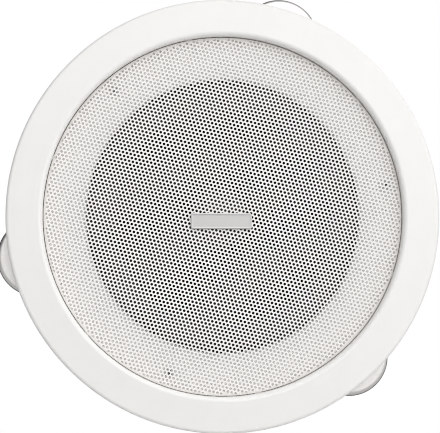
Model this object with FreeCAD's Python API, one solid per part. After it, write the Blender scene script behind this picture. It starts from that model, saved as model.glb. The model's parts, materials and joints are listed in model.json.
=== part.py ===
import FreeCAD, Part
import math
import os

# Flush-mount loudspeaker: a trim ring with a recessed grille, a baffle with one cone driver hung behind it,
# and three sprung clips that hold the ring against a wall or ceiling panel.
# Everything is modelled with Z forwards, towards the listener, and the wall surface at z = 0.
# A clip, a boss or a spoke is drawn on the X axis, with X outwards, and then turned to its angle.

# Shared allowances
CLEARANCE = 0.3
BITE = 1.0
OVERCUT = 1.0
TOUCH = 0.01
END_FLAT = 0.1
BLIND_FLOOR = 1.0

# Trim ring
RING_R = 115.0
RING_EDGE_Z = 4.0
RING_EDGE_ROUND = 2.2
RING_LIP_Z = 6.6
RING_LIP_ROUND = 2.2
RECESS_R = 95.6
BARREL_R = 98.0
BARREL_BACK_Z = -22.0
BARREL_TAPER = 0.8
REGISTER_LENGTH = 11.0
SHOULDER = 1.0
RIM_FOOT_R = 112.6
RIM_ROOF_Z = 1.6
SKIN = 2.8
LEDGE_R = 91.5
LEDGE_THICKNESS = 2.5
CHANNEL_RIBS = 12
CHANNEL_RIB_FIRST = 15.0
CHANNEL_RIB_WIDTH = 2.0
CHANNEL_RIB_INSET = 0.5
CRUSH_RIBS = 6
CRUSH_RIB_FIRST = 41.0
CRUSH_RIB_WIDTH = 3.0
CRUSH_RIB_HEIGHT = 1.5

# Grille and its plate
GRILLE_R = 95.3
GRILLE_Z = 0.5
GRILLE_SHEET = 0.6
GRILLE_BEND = 1.8
GRILLE_SEAM = 0.4
HOLE_PITCH = 9.0
HOLE_R = 3.0
HOLE_ROWS_TURN = -14.0
PLATE_SIZE = (32.4, 8.5, 1.0)
PLATE_CORNER = 1.2
PLATE_CHAMFER = 0.3
PLATE_CENTRE = (-1.2, -2.8)

# Baffle
BAFFLE_Z = -3.2
BAFFLE_THICKNESS = 3.0
OPENING_R = 72.8
OPENING_BEVEL = 1.0
BAFFLE_SCREW_CIRCLE_R = 88.0
BAFFLE_SCREW_ANGLES = (11.0, 131.0, 251.0)
BOSS_R = 4.2
BOSS_DEPTH = 9.5
BOSS_WEB_INSET = 2.0
BAFFLE_SCREW_LENGTH = 11.0

# Screws
SCREW_R = 1.5
SCREW_PLAY = 0.2
SCREW_HEAD_R = 3.0
SCREW_HEAD_HEIGHT = 2.0
SCREW_HEAD_BEVEL = 1.2
SCREW_POINT = 1.2
CROSS_LENGTH = 3.4
CROSS_WIDTH = 0.8
CROSS_FLOOR = 0.7

# Driver
GASKET_THICKNESS = 3.0
GASKET_PLAY = 0.4
FLANGE_R = 83.0
FLANGE_INNER_R = 71.0
FLANGE_BEND = 2.0
SHEET = 1.5
DRIVER_SCREW_CIRCLE_R = 79.0
DRIVER_SCREWS = 4
DRIVER_SCREW_LENGTH = 6.2
PILOT_R = 1.3
PILOT_WALL = 2.1
SPOKES = 4
SPOKE_ARC = 26.0
WINDOW_INNER_R = 51.0
WINDOW_OUTER_R = 68.5
WINDOW_CORNER = 4.0
BEAD_WIDTH = 8.0
BEAD_RISE = 1.6
BEAD_ENDS = (0.2, 0.84)
BEAD_TAPER = 3.0
SHELF_R = 46.8
SHELF_DROP = 26.5
SHELF_INNER_R = 38.6
SHELF_BEND = 1.0
BASKET_BOTTOM_R = 36.6
BASKET_HOLE_R = 19.0
BOTTOM_DROP = 35.5
CONE_R = 60.8
CONE_LIFT = 0.5
CONE_DEPTH = 20.5
CONE_SLOPE_R = 57.6
CONE_EDGE_BEND = 2.0
PAPER = 0.9
CAP_R = 20.0
CAP_RISE = 7.5
CAP_SKIN = 0.6
SURROUND_RUBBER = 0.8
SURROUND_RISE = 4.2
SURROUND_EDGE_R = 75.0
SURROUND_LIP = 2.8
ROLL_GAP = 0.2
COIL_R = 16.1
FORMER_WALL = 0.4
COIL_WIRE = 0.7
COIL_HEIGHT = 9.0
POLE_R = 15.1
GAP_R = 17.2
STEEL_R = 39.0
STEEL_THICKNESS = 5.0
STEEL_BEVEL = 0.8
MAGNET_R = 42.5
MAGNET_HOLE_R = 22.0
MAGNET_THICKNESS = 15.0
VENT_R = 4.0
VENT_FLARE = 2.0
SPIDER_R = 45.6
SPIDER_FLAT_R = 37.8
SPIDER_NECK = 2.0
SPIDER_ROLLS = 8
SPIDER_ROLL_RISE = 1.1
SPIDER_CLOTH = 0.5

# Terminals, on the rear of the basket's flange
TERMINAL_ANGLE = 225.0
BOARD_SIZE = (18.5, 26.0, 1.6)
BOARD_INNER_R = 75.5
BOARD_CORNER = 1.5
TAB_SPACING = 16.0
TAB_R = 87.0
TAB_FOOT = 3.5
TAB_HEEL = 3.2
TAB_SHEET = 0.8
TAB_BEND = 0.7
TAB_REACH = 10.0
TAB_TIP_CUT = 1.0
TAB_HOLE_R = 0.9
TAB_HOLE_INSET = 3.0
TAB_WIDTHS = {"plus": 6.3, "minus": 4.8}
RIVET_R = 1.4
RIVET_BORE_R = 0.7
RIVET_HEAD_R = 2.2
RIVET_HEAD_HEIGHT = 0.6
LEAD_R = 0.6
LEAD_ROUTE = ((83.5, 8.0, -13.7), (77.0, 12.0, -16.2), (68.5, 18.0, -19.7), (59.0, 21.5, -21.2), (50.0, 21.0, -19.7),
              (44.0, 18.5, -16.5))
LEAD_ARC_SHARE = 0.45

# Clips
CLIP_ANGLES = (72.3, 192.3, 312.3)
PIVOT_R = 89.5
PIVOT_Z = -17.0
PIN_R = 1.5
PIN_PLAY = 0.05
PIN_TAIL = 0.8
PIN_HEAD_R = 2.7
PIN_HEAD_HEIGHT = 1.2
PAD_BACK_Z = -11.5
PAD_INNER_R = 84.5
PAD_HALF_WIDTH = 19.0
EAR_INNER_T = 15.2
EAR_THICKNESS = 3.0
EAR_R = 4.5
PADDLE_R = 21.0
PADDLE_CENTRE_R = 101.5
PADDLE_ROOT_R = 95.5
PADDLE_ROOT_LAP = 4.0
PADDLE_DEPTH = 5.0
PADDLE_EDGE_ROUND = 2.4
PADDLE_HALF_ROOT = 14.5
LUG_R = 3.2
LUG_SHOULDER = 2.5
LUG_CORNER = 1.0
SLOT_HALF_WIDTH = 6.0
NOTCH_HALF_WIDTH = 22.5
SPRING_WIRE = 1.0
SPRING_HOLE_R = 1.0
SPRING_R = 3.45
SPRING_PITCH = 1.25
SPRING_TURNS = 3.75
SPRING_REACH = 20.0
SPRING_ANCHOR = 7.5

# Levels and slopes that follow from the sizes above
BAFFLE_BACK_Z = BAFFLE_Z - BAFFLE_THICKNESS
FLANGE_Z = BAFFLE_BACK_Z - GASKET_THICKNESS
FLANGE_BACK_Z = FLANGE_Z - SHEET
SHELF_Z = FLANGE_Z - SHELF_DROP
BOTTOM_Z = FLANGE_Z - BOTTOM_DROP
PLATE_FRONT_Z = BOTTOM_Z - SHEET
MAGNET_FRONT_Z = PLATE_FRONT_Z - STEEL_THICKNESS
YOKE_FRONT_Z = MAGNET_FRONT_Z - MAGNET_THICKNESS
YOKE_BACK_Z = YOKE_FRONT_Z - STEEL_THICKNESS
CONE_Z = FLANGE_Z + CONE_LIFT
CONE_NECK_Z = CONE_Z - CONE_DEPTH
CONE_SLOPE = CONE_DEPTH / (CONE_SLOPE_R - COIL_R)
COIL_MIDDLE_Z = (PLATE_FRONT_Z + MAGNET_FRONT_Z) / 2
BOARD_BACK_Z = FLANGE_BACK_Z - BOARD_SIZE[2]
BASKET_FOLD = math.atan2(SHELF_DROP, FLANGE_INNER_R - SHELF_R)
FOLD_SHIFT = SHEET * math.tan(BASKET_FOLD / 2)

ORIGIN = FreeCAD.Vector(0, 0, 0)
FORWARD = FreeCAD.Vector(0, 0, 1)
OUTWARD = FreeCAD.Vector(1, 0, 0)
SIDEWAYS = FreeCAD.Vector(0, 1, 0)


# Shared shapes

def rounded_wire(corners, place, bevel=False):
    """A closed wire through corners (a, b) or (a, b, radius), each put in space by place(a, b).

    With bevel, a corner's arc becomes the straight cut between the arc's ends.
    """
    points = [FreeCAD.Vector(c[0], c[1], 0) for c in corners]
    radii = [c[2] if len(c) > 2 else 0.0 for c in corners]
    starts, ends, middles = [], [], []
    for i, corner in enumerate(points):
        back = (points[i - 1] - corner).normalize()
        ahead = (points[(i + 1) % len(points)] - corner).normalize()
        half = math.acos(max(-1.0, min(1.0, back.dot(ahead)))) / 2
        reach = radii[i] / math.tan(half)
        centre_way = (back + ahead).normalize() if radii[i] else FreeCAD.Vector()
        starts.append(corner + back * reach)
        ends.append(corner + ahead * reach)
        middles.append(corner + centre_way * (radii[i] / math.sin(half) - radii[i]))
    edges = []
    for i in range(len(points)):
        if radii[i] and bevel:
            edges.append(Part.LineSegment(place(*starts[i][:2]), place(*ends[i][:2])).toShape())
        elif radii[i]:
            edges.append(Part.Arc(place(*starts[i][:2]), place(*middles[i][:2]), place(*ends[i][:2])).toShape())
        following = (i + 1) % len(points)
        if not starts[following].isEqual(ends[i], TOUCH):
            edges.append(Part.LineSegment(place(*ends[i][:2]), place(*starts[following][:2])).toShape())
    return Part.Wire(edges)


def on_section(r, z):
    return FreeCAD.Vector(r, 0, z)


def turned(corners, degrees=360):
    """A solid of revolution about the speaker's axis, from its half section with round corners."""
    return Part.Face(rounded_wire(corners, on_section)).revolve(ORIGIN, FORWARD, degrees)


def bevelled(corners):
    """A full turn like the one above, with bevelled corners."""
    return Part.Face(rounded_wire(corners, on_section, True)).revolve(ORIGIN, FORWARD, 360)


def ring(inner, outer, back, front):
    return turned([(inner, back), (outer, back), (outer, front), (inner, front)])


def disc(radius, back, front, x=0.0, y=0.0):
    return Part.makeCylinder(radius, front - back, FreeCAD.Vector(x, y, back), FORWARD)


def block(x_range, y_range, z_range):
    low = FreeCAD.Vector(x_range[0], y_range[0], z_range[0])
    size = [r[1] - r[0] for r in (x_range, y_range, z_range)]
    return Part.makeBox(*size, low)


def both_ways(half):
    return (-half, half)


def side_plate(corners, y_range):
    """A plate drawn in the section plane and given its thickness along Y."""
    def place(r, z):
        return FreeCAD.Vector(r, y_range[0], z)
    return Part.Face(rounded_wire(corners, place)).extrude(SIDEWAYS * (y_range[1] - y_range[0]))


def rounded_plate(corners, back, thickness):
    """A flat plate seen from the front, with its rear face at the given height."""
    def place(x, y):
        return FreeCAD.Vector(x, y, back)
    return Part.Face(rounded_wire(corners, place)).extrude(FORWARD * thickness)


def edges_at(shape, level):
    """The edges of a shape that lie at one height."""
    return [e for e in shape.Edges if e.BoundBox.ZMin > level - TOUCH and e.BoundBox.ZMax < level + TOUCH]


def cross_pin(radius, y_range):
    """A cylinder along the clip's pivot line."""
    start = FreeCAD.Vector(PIVOT_R, y_range[0], PIVOT_Z)
    return Part.makeCylinder(radius, y_range[1] - y_range[0], start, SIDEWAYS)


def at_angle(shape, degrees):
    copy = shape.copy()
    copy.rotate(ORIGIN, FORWARD, degrees)
    return copy


def around(shape, angles):
    return [at_angle(shape, angle) for angle in angles]


def even_angles(count, first=0.0):
    return [first + 360.0 / count * i for i in range(count)]


def joined(first, others):
    return first.fuse(others).removeSplitter()


# Front: ring, grille, plate and baffle

def clip_seat():
    """What the ring carries for one clip: a pad, and two ears for the pin."""
    pad = block((PAD_INNER_R, RECESS_R + 2 * BITE), both_ways(PAD_HALF_WIDTH), (PAD_BACK_Z, BAFFLE_BACK_Z))
    pad = pad.common(disc(RECESS_R + BITE, PAD_BACK_Z, BAFFLE_BACK_Z))
    end_round = EAR_R - END_FLAT
    outline = [(PIVOT_R - EAR_R, PAD_BACK_Z + BITE), (PIVOT_R + EAR_R, PAD_BACK_Z + BITE),
               (PIVOT_R + EAR_R, PIVOT_Z - EAR_R, end_round), (PIVOT_R - EAR_R, PIVOT_Z - EAR_R, end_round)]
    ears = [side_plate(outline, (EAR_INNER_T, EAR_INNER_T + EAR_THICKNESS)),
            side_plate(outline, (-EAR_INNER_T - EAR_THICKNESS, -EAR_INNER_T))]
    return pad.fuse(ears).cut(cross_pin(PIN_R, both_ways(PAD_HALF_WIDTH)))


def spring_anchor():
    """The hole that holds the fixed leg of a clip's spring."""
    half_coil = SPRING_TURNS * SPRING_PITCH / 2
    return disc(SPRING_HOLE_R, PAD_BACK_Z - OVERCUT, BAFFLE_BACK_Z + OVERCUT, PIVOT_R + SPRING_R, half_coil)


def clip_notch():
    """The gap in the barrel that one paddle swings through."""
    return block((PAD_INNER_R, BARREL_R + OVERCUT), both_ways(NOTCH_HALF_WIDTH), (BARREL_BACK_Z - OVERCUT, PAD_BACK_Z))


def screw_boss():
    """A boss behind the baffle, tied to the barrel by a web."""
    back = BAFFLE_BACK_Z - BOSS_DEPTH
    post = disc(BOSS_R, back, BAFFLE_BACK_Z, BAFFLE_SCREW_CIRCLE_R)
    web = block((BAFFLE_SCREW_CIRCLE_R, RECESS_R + BITE), both_ways(SCREW_R), (back + BOSS_WEB_INSET, BAFFLE_BACK_Z))
    hole = disc(SCREW_R, back + BLIND_FLOOR, BAFFLE_BACK_Z, BAFFLE_SCREW_CIRCLE_R)
    return post.fuse(web).cut(hole)


def channel_rib():
    """A rib across the hollow behind the ring's face."""
    reach = (BARREL_R + CHANNEL_RIB_INSET, RIM_FOOT_R + CHANNEL_RIB_INSET)
    return block(reach, both_ways(CHANNEL_RIB_WIDTH / 2), (CHANNEL_RIB_INSET, RING_EDGE_Z))


def crush_rib():
    """A low rib at the foot of the recess, which grips the grille's rim."""
    foot = BAFFLE_Z + CLEARANCE
    return block((GRILLE_R, RECESS_R + BITE), both_ways(CRUSH_RIB_WIDTH / 2), (foot, foot + CRUSH_RIB_HEIGHT))


def trim_ring():
    """The moulding: a sloping face with a rounded lip, a hollow behind it, and the barrel with its ledge."""
    ledge_back = BAFFLE_BACK_Z - LEDGE_THICKNESS
    body = turned([
        (RING_R, 0), (RING_R, RING_EDGE_Z, RING_EDGE_ROUND), (RECESS_R, RING_LIP_Z, RING_LIP_ROUND),
        (RECESS_R, BAFFLE_BACK_Z), (LEDGE_R, BAFFLE_BACK_Z), (LEDGE_R, ledge_back), (RECESS_R, ledge_back),
        (RECESS_R, BARREL_BACK_Z), (BARREL_R - BARREL_TAPER, BARREL_BACK_Z), (BARREL_R, -REGISTER_LENGTH),
        (BARREL_R, 0), (BARREL_R + SHOULDER, 0), (BARREL_R + SHOULDER, RING_LIP_Z - SKIN),
        (RIM_FOOT_R, RIM_ROOF_Z), (RIM_FOOT_R, 0)])
    body = body.cut(around(clip_notch(), CLIP_ANGLES))
    extras = around(clip_seat(), CLIP_ANGLES)
    extras += around(screw_boss(), BAFFLE_SCREW_ANGLES)
    extras += around(channel_rib(), even_angles(CHANNEL_RIBS, CHANNEL_RIB_FIRST))
    extras += around(crush_rib(), even_angles(CRUSH_RIBS, CRUSH_RIB_FIRST))
    return joined(body, extras).cut(around(spring_anchor(), CLIP_ANGLES))


def hexagon(x, y, turn):
    corners = []
    for degrees in even_angles(6, turn):
        way = math.radians(degrees)
        corners.append(FreeCAD.Vector(x + HOLE_R * math.cos(way), y + HOLE_R * math.sin(way), GRILLE_Z))
    return Part.makePolygon(corners + corners[:1])


def hole_places(limit):
    """Staggered rows of holes, all inside the limit."""
    turn = math.radians(HOLE_ROWS_TURN)
    row_gap = HOLE_PITCH * math.sqrt(3) / 2
    reach = int(limit / row_gap) + 1
    for row in range(-reach, reach + 1):
        for column in range(-2 * reach, 2 * reach + 1):
            along = (column + row % 2 / 2) * HOLE_PITCH
            x = along * math.cos(turn) - row * row_gap * math.sin(turn)
            y = along * math.sin(turn) + row * row_gap * math.cos(turn)
            if math.hypot(x, y) < limit:
                yield x, y


def grille():
    """A perforated disc with its rim rolled back to stand on the baffle."""
    flat_r = GRILLE_R - GRILLE_BEND - GRILLE_SEAM
    back = GRILLE_Z - GRILLE_SHEET
    edge = Part.Wire(Part.makeCircle(flat_r, FreeCAD.Vector(0, 0, GRILLE_Z), FORWARD))
    holes = [hexagon(x, y, HOLE_ROWS_TURN + 30) for x, y in hole_places(flat_r - HOLE_R)]
    sheet = Part.Face([edge] + holes).extrude(FORWARD * -GRILLE_SHEET)
    rim = turned([
        (flat_r, back), (flat_r, GRILLE_Z), (GRILLE_R, GRILLE_Z, GRILLE_BEND), (GRILLE_R, BAFFLE_Z),
        (GRILLE_R - GRILLE_SHEET, BAFFLE_Z), (GRILLE_R - GRILLE_SHEET, back, GRILLE_BEND - GRILLE_SHEET)])
    return joined(sheet, [rim])


def badge_plate():
    """The small bare plate on the grille, with rounded corners and a softened front edge."""
    half_x, half_y = PLATE_SIZE[0] / 2, PLATE_SIZE[1] / 2
    x, y = PLATE_CENTRE
    corners = [(x + sx * half_x, y + sy * half_y, PLATE_CORNER) for sx, sy in ((-1, -1), (1, -1), (1, 1), (-1, 1))]
    plate = rounded_plate(corners, GRILLE_Z, PLATE_SIZE[2])
    return plate.makeChamfer(PLATE_CHAMFER, edges_at(plate, GRILLE_Z + PLATE_SIZE[2]))


def baffle():
    """The ring plate that carries the driver, with screw holes and four blind bosses on its rear."""
    outer = RECESS_R - CLEARANCE
    plate = bevelled([
        (OPENING_R, BAFFLE_BACK_Z), (outer, BAFFLE_BACK_Z), (outer, BAFFLE_Z), (OPENING_R, BAFFLE_Z, OPENING_BEVEL)])
    boss = disc(PILOT_R + PILOT_WALL, FLANGE_Z, BAFFLE_BACK_Z + BITE, DRIVER_SCREW_CIRCLE_R)
    pilot = disc(PILOT_R, FLANGE_Z, BAFFLE_Z - BLIND_FLOOR, DRIVER_SCREW_CIRCLE_R)
    hole = disc(SCREW_R + SCREW_PLAY, BAFFLE_BACK_Z - OVERCUT, BAFFLE_Z + OVERCUT, BAFFLE_SCREW_CIRCLE_R)
    plate = joined(plate, around(boss, even_angles(DRIVER_SCREWS)))
    return plate.cut(around(pilot, even_angles(DRIVER_SCREWS)) + around(hole, BAFFLE_SCREW_ANGLES))


def screw(shank_r, length):
    """A pan-head screw with a cross recess, its head standing on z = 0 and its shank below."""
    head = bevelled([
        (0, 0), (SCREW_HEAD_R, 0), (SCREW_HEAD_R, SCREW_HEAD_HEIGHT, SCREW_HEAD_BEVEL), (0, SCREW_HEAD_HEIGHT)])
    shank = bevelled([
        (0, -length), (shank_r - SCREW_POINT / 2, -length), (shank_r, SCREW_POINT - length), (shank_r, 0), (0, 0)])
    depth = (CROSS_FLOOR, SCREW_HEAD_HEIGHT + OVERCUT)
    recess = [block(both_ways(CROSS_LENGTH / 2), both_ways(CROSS_WIDTH / 2), depth),
              block(both_ways(CROSS_WIDTH / 2), both_ways(CROSS_LENGTH / 2), depth)]
    return joined(head, [shank]).cut(recess)


def baffle_screws():
    one = screw(SCREW_R, BAFFLE_SCREW_LENGTH)
    one.translate(FreeCAD.Vector(BAFFLE_SCREW_CIRCLE_R, 0, BAFFLE_Z))
    return Part.makeCompound(around(one, BAFFLE_SCREW_ANGLES))


# Driver

def driver_gasket():
    """A soft ring between the baffle and the flange, cut out round the bosses and the board's rivet."""
    def room(radius):
        return disc(radius + GASKET_PLAY, FLANGE_Z - OVERCUT, BAFFLE_BACK_Z + OVERCUT, DRIVER_SCREW_CIRCLE_R)
    soft = ring(SURROUND_EDGE_R + CLEARANCE, FLANGE_R, FLANGE_Z, BAFFLE_BACK_Z)
    boss_rooms = around(room(PILOT_R + PILOT_WALL), even_angles(DRIVER_SCREWS))
    return soft.cut(boss_rooms + [at_angle(room(RIVET_HEAD_R), TERMINAL_ANGLE)])


def basket_window():
    """One window, punched along the axis between two spokes, with round corners."""
    arc_degrees = 360.0 / SPOKES - SPOKE_ARC
    blank = turned([
        (WINDOW_INNER_R, BOTTOM_Z), (WINDOW_OUTER_R, BOTTOM_Z), (WINDOW_OUTER_R, FLANGE_Z),
        (WINDOW_INNER_R, FLANGE_Z)], arc_degrees)
    upright = [e for e in blank.Edges if e.BoundBox.ZLength > TOUCH]
    return at_angle(blank.makeFillet(WINDOW_CORNER, upright), -arc_degrees / 2)


def spoke_bead(low, high, width, inset):
    """A ridge with slanting ends along the middle of a spoke, between two heights above the sheet's inner face."""
    down = FreeCAD.Vector(SHELF_R - FLANGE_INNER_R, -SHELF_DROP, 0)
    lift = FreeCAD.Vector(SHELF_DROP, SHELF_R - FLANGE_INNER_R, 0).normalize()
    start = FreeCAD.Vector(FLANGE_INNER_R, FLANGE_Z, 0) + down * BEAD_ENDS[0]
    end = FreeCAD.Vector(FLANGE_INNER_R, FLANGE_Z, 0) + down * BEAD_ENDS[1]
    down.normalize()
    corners = [start + down * inset + lift * low, end - down * inset + lift * low,
               end - down * (inset + BEAD_TAPER) + lift * high, start + down * (inset + BEAD_TAPER) + lift * high]
    return side_plate([(c.x, c.y) for c in corners], both_ways(width / 2))


def driver_basket():
    """Pressed steel: a flange, four beaded spokes with open windows between them, a spider shelf and a bottom."""
    body = bevelled([
        (FLANGE_INNER_R, FLANGE_Z), (FLANGE_R, FLANGE_Z), (FLANGE_R, FLANGE_BACK_Z),
        (FLANGE_INNER_R + FOLD_SHIFT, FLANGE_BACK_Z, FLANGE_BEND), (SHELF_R + FOLD_SHIFT, SHELF_Z - SHEET, FLANGE_BEND),
        (SHELF_INNER_R + SHEET, SHELF_Z - SHEET, SHELF_BEND), (BASKET_BOTTOM_R + SHEET, PLATE_FRONT_Z),
        (BASKET_HOLE_R, PLATE_FRONT_Z), (BASKET_HOLE_R, BOTTOM_Z), (BASKET_BOTTOM_R, BOTTOM_Z, SHELF_BEND),
        (SHELF_INNER_R, SHELF_Z, SHELF_BEND), (SHELF_R, SHELF_Z, SHELF_BEND)])
    spokes = even_angles(SPOKES, 180.0 / SPOKES)
    bead = spoke_bead(0, SHEET + BEAD_RISE, BEAD_WIDTH, 0)
    groove = spoke_bead(-SHEET, BEAD_RISE, BEAD_WIDTH - 2 * SHEET, SHEET)
    hole = disc(SCREW_R + 2 * SCREW_PLAY, FLANGE_BACK_Z - OVERCUT, FLANGE_Z + OVERCUT, DRIVER_SCREW_CIRCLE_R)
    rivet_hole = disc(RIVET_R, FLANGE_BACK_Z - OVERCUT, FLANGE_Z + OVERCUT, DRIVER_SCREW_CIRCLE_R)
    cuts = around(groove, spokes) + around(basket_window(), even_angles(SPOKES))
    cuts += around(hole, even_angles(DRIVER_SCREWS)) + [at_angle(rivet_hole, TERMINAL_ANGLE)]
    return joined(body, around(bead, spokes)).cut(cuts)


def driver_screws():
    one = screw(PILOT_R, DRIVER_SCREW_LENGTH)
    one.rotate(ORIGIN, OUTWARD, 180)
    one.translate(FreeCAD.Vector(DRIVER_SCREW_CIRCLE_R, 0, FLANGE_BACK_Z))
    return Part.makeCompound(around(one, even_angles(DRIVER_SCREWS)))


def arc(start, middle, end):
    return Part.Arc(on_section(*start), on_section(*middle), on_section(*end)).toShape()


def line(start, end):
    return Part.LineSegment(on_section(*start), on_section(*end)).toShape()


def surround():
    """A half roll of rubber between the cone's edge and the basket's flange."""
    rubber = SURROUND_RUBBER
    outer, inner = FLANGE_INNER_R - ROLL_GAP, CONE_R + ROLL_GAP
    middle = (outer + inner) / 2
    low_out, low_in, crest = FLANGE_Z, CONE_Z, FLANGE_Z + SURROUND_RISE + rubber
    edge_out, edge_in = SURROUND_EDGE_R, CONE_R - SURROUND_LIP
    outline = Part.Wire([
        line((edge_out, low_out), (outer, low_out)),
        arc((outer, low_out), (middle, crest - rubber), (inner, low_in)),
        line((inner, low_in), (edge_in, low_in)),
        line((edge_in, low_in), (edge_in, low_in + rubber)),
        line((edge_in, low_in + rubber), (inner - rubber, low_in + rubber)),
        arc((inner - rubber, low_in + rubber), (middle, crest), (outer + rubber, low_out + rubber)),
        line((outer + rubber, low_out + rubber), (edge_out, low_out + rubber)),
        line((edge_out, low_out + rubber), (edge_out, low_out))])
    return Part.Face(outline).revolve(ORIGIN, FORWARD, 360)


def cone_front(r):
    """Height of the cone's front face at a radius."""
    return CONE_NECK_Z + (r - COIL_R) * CONE_SLOPE


def cone():
    """Pressed paper from the coil's former to a flat edge under the surround."""
    slant = PAPER * math.hypot(1, CONE_SLOPE)
    return bevelled([
        (COIL_R, CONE_NECK_Z), (CONE_SLOPE_R, CONE_Z, CONE_EDGE_BEND), (CONE_R, CONE_Z), (CONE_R, CONE_Z - PAPER),
        (CONE_SLOPE_R + PAPER / 3, CONE_Z - PAPER, CONE_EDGE_BEND - PAPER / 2), (COIL_R, CONE_NECK_Z - slant)])


def dust_cap():
    """A shallow dome whose foot follows the cone."""
    foot = (CAP_R, cone_front(CAP_R))
    inner_foot = (CAP_R - CAP_SKIN, cone_front(CAP_R - CAP_SKIN))
    rise_z = foot[1] + CAP_RISE
    dome_r = (CAP_R ** 2 + CAP_RISE ** 2) / (2 * CAP_RISE)

    def on_dome(r, radius):
        return (r, rise_z - dome_r + math.sqrt(radius ** 2 - r ** 2))
    inside = dome_r - CAP_SKIN
    half = CAP_R / 2
    outline = Part.Wire([
        arc(foot, on_dome(half, dome_r), (0, rise_z)),
        line((0, rise_z), (0, rise_z - CAP_SKIN)),
        arc((0, rise_z - CAP_SKIN), on_dome(half, inside), inner_foot),
        line(inner_foot, foot)])
    return Part.Face(outline).revolve(ORIGIN, FORWARD, 360)


def coil_former():
    return ring(COIL_R - FORMER_WALL, COIL_R, COIL_MIDDLE_Z - COIL_HEIGHT / 2, CONE_NECK_Z)


def voice_coil():
    return ring(COIL_R, COIL_R + COIL_WIRE, COIL_MIDDLE_Z - COIL_HEIGHT / 2, COIL_MIDDLE_Z + COIL_HEIGHT / 2)


def spider():
    """A corrugated cloth disc from the former to the basket's shelf."""
    inner = COIL_R + CLEARANCE
    start = inner + SPIDER_NECK
    step = (SPIDER_FLAT_R - start) / SPIDER_ROLLS
    top = SHELF_Z + SPIDER_CLOTH
    upper = [line((inner, top), (start, top))]
    lower = [line((inner, SHELF_Z), (start, SHELF_Z))]
    for i in range(SPIDER_ROLLS):
        r = start + i * step
        rise = SPIDER_ROLL_RISE if i % 2 == 0 else -SPIDER_ROLL_RISE
        for side, level in ((upper, top), (lower, SHELF_Z)):
            side.append(line((r, level), (r + step / 2, level + rise)))
            side.append(line((r + step / 2, level + rise), (r + step, level)))
    upper.append(line((SPIDER_FLAT_R, top), (SPIDER_R, top)))
    lower.append(line((SPIDER_FLAT_R, SHELF_Z), (SPIDER_R, SHELF_Z)))
    ends = [line((SPIDER_R, top), (SPIDER_R, SHELF_Z)), line((inner, SHELF_Z), (inner, top))]
    outline = Part.Wire(Part.__sortEdges__(upper + lower + ends))
    return Part.Face(outline).revolve(ORIGIN, FORWARD, 360)


def front_plate():
    return bevelled([(GAP_R, MAGNET_FRONT_Z), (STEEL_R, MAGNET_FRONT_Z), (STEEL_R, PLATE_FRONT_Z, STEEL_BEVEL),
                     (GAP_R, PLATE_FRONT_Z)])


def magnet():
    return bevelled([
        (MAGNET_HOLE_R, YOKE_FRONT_Z), (MAGNET_R, YOKE_FRONT_Z, STEEL_BEVEL), (MAGNET_R, MAGNET_FRONT_Z, STEEL_BEVEL),
        (MAGNET_HOLE_R, MAGNET_FRONT_Z)])


def yoke():
    """The back plate and the pole in one forging, with a flared vent through the pole."""
    return bevelled([
        (VENT_R + VENT_FLARE, YOKE_BACK_Z), (STEEL_R, YOKE_BACK_Z, STEEL_BEVEL), (STEEL_R, YOKE_FRONT_Z),
        (POLE_R, YOKE_FRONT_Z), (POLE_R, PLATE_FRONT_Z, STEEL_BEVEL), (VENT_R, PLATE_FRONT_Z),
        (VENT_R, YOKE_BACK_Z + VENT_FLARE)])


# Terminals

def terminal_board():
    """A small board riveted to the rear of the flange."""
    length, width, thickness = BOARD_SIZE
    near, far = BOARD_INNER_R, BOARD_INNER_R + length
    corners = [(x, y, BOARD_CORNER) for x, y in (
        (near, -width / 2), (far, -width / 2), (far, width / 2), (near, width / 2))]
    board = rounded_plate(corners, BOARD_BACK_Z, thickness)
    holes = [disc(RIVET_R, BOARD_BACK_Z - OVERCUT, FLANGE_BACK_Z + OVERCUT, x, y) for x, y in rivet_places()]
    return at_angle(board.cut(holes), TERMINAL_ANGLE)


def rivet_places():
    """The board's rivet in the flange, then one through the foot of each tab."""
    return [(DRIVER_SCREW_CIRCLE_R, 0.0), (TAB_R, TAB_SPACING / 2), (TAB_R, -TAB_SPACING / 2)]


def terminal_tab(width, side):
    """A spade tab: a foot flat on the board, and a blade bent to the rear with its corners cut."""
    top, tip = BOARD_BACK_Z, BOARD_BACK_Z - TAB_REACH
    y = side * TAB_SPACING / 2
    toe, heel = TAB_R - TAB_FOOT, TAB_R + TAB_HEEL
    outline = [(toe, top), (toe, top - TAB_SHEET), (heel, top - TAB_SHEET), (heel, tip), (heel + TAB_SHEET, tip),
               (heel + TAB_SHEET, top, TAB_BEND)]
    tab = side_plate(outline, (y - width / 2, y + width / 2))
    tip_corners = [e for e in edges_at(tab, tip) if e.BoundBox.YLength < TOUCH]
    tab = tab.makeChamfer(TAB_TIP_CUT, tip_corners)
    foot_hole = disc(RIVET_R, top - TAB_SHEET - OVERCUT, top + OVERCUT, TAB_R, y)
    blade_hole = Part.makeCylinder(TAB_HOLE_R, TAB_SHEET + 2 * OVERCUT,
                                   FreeCAD.Vector(heel - OVERCUT, y, tip + TAB_HOLE_INSET), OUTWARD)
    return at_angle(tab.cut([foot_hole, blade_hole]), TERMINAL_ANGLE)


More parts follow.
